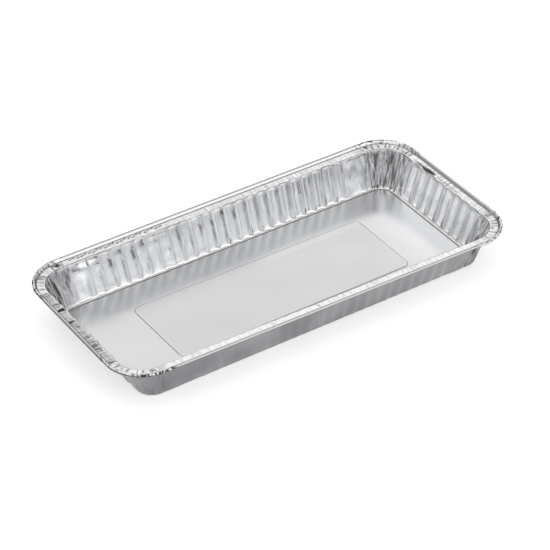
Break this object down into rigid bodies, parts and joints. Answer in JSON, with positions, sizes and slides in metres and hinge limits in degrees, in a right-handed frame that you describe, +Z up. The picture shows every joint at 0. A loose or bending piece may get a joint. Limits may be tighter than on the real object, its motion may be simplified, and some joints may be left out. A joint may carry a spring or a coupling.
{
  "type": "foil drip pan",
  "caption": "Long shallow drip pan pressed from one sheet of aluminium foil, with fluted walls, a flat flange and a rolled edge.",
  "frame": {"origin": "middle of the underside of the floor, on the surface that the pan stands on", "axes": "+X along the pan's length, +Y across its width, +Z up out of the open top"},
  "size_m": [0.34, 0.161, 0.0343],
  "materials": {
    "foil": "bright rolled foil, half satin"
  },
  "bodies": {
    "root": {"foil_pan": "foil"}
  },
  "joints": []
}
